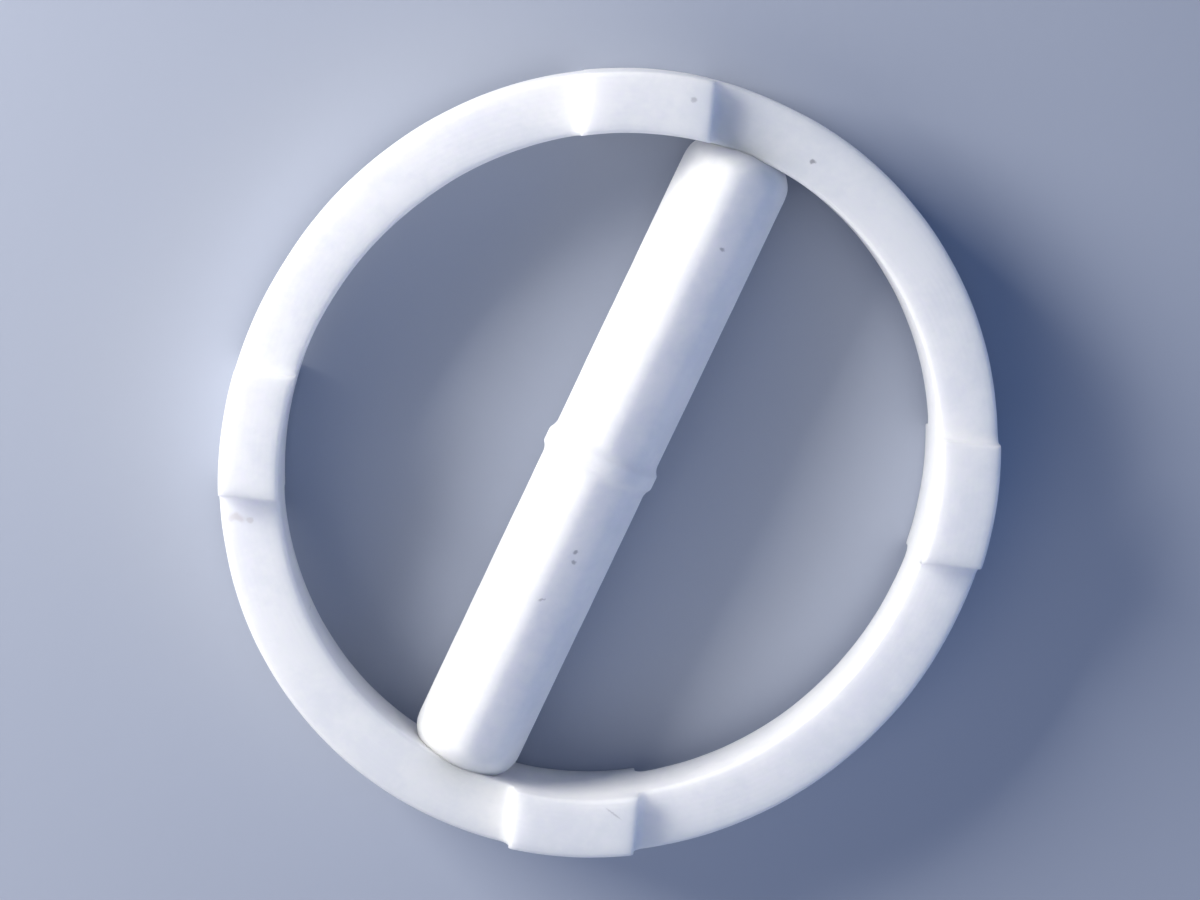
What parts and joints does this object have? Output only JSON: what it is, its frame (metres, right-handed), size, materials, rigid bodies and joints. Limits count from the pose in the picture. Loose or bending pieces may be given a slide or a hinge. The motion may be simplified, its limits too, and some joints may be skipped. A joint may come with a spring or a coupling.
{
  "type": "magnetic stir bar",
  "caption": "Eight-sided magnetic stir bar held across a flat white ring that stands on feet on both faces.",
  "frame": {"origin": "middle of the footprint, on the surface that the feet rest on", "axes": "+Z along the axis of the ring; one pair of feet on the X axis and one pair on the Y axis; the bar lies in the middle plane, about 71 degrees from +X"},
  "size_m": [0.0564, 0.0576, 0.0095],
  "materials": {
    "ring_ptfe": "waxy white, slightly translucent, satin",
    "bar_ptfe": "waxy white, smooth moulded, slightly translucent",
    "magnet": "cast and ground magnet alloy"
  },
  "bodies": {
    "root": {"outer_ring": "ring_ptfe", "bar_jacket": "bar_ptfe", "magnet_core": "magnet"}
  },
  "joints": []
}
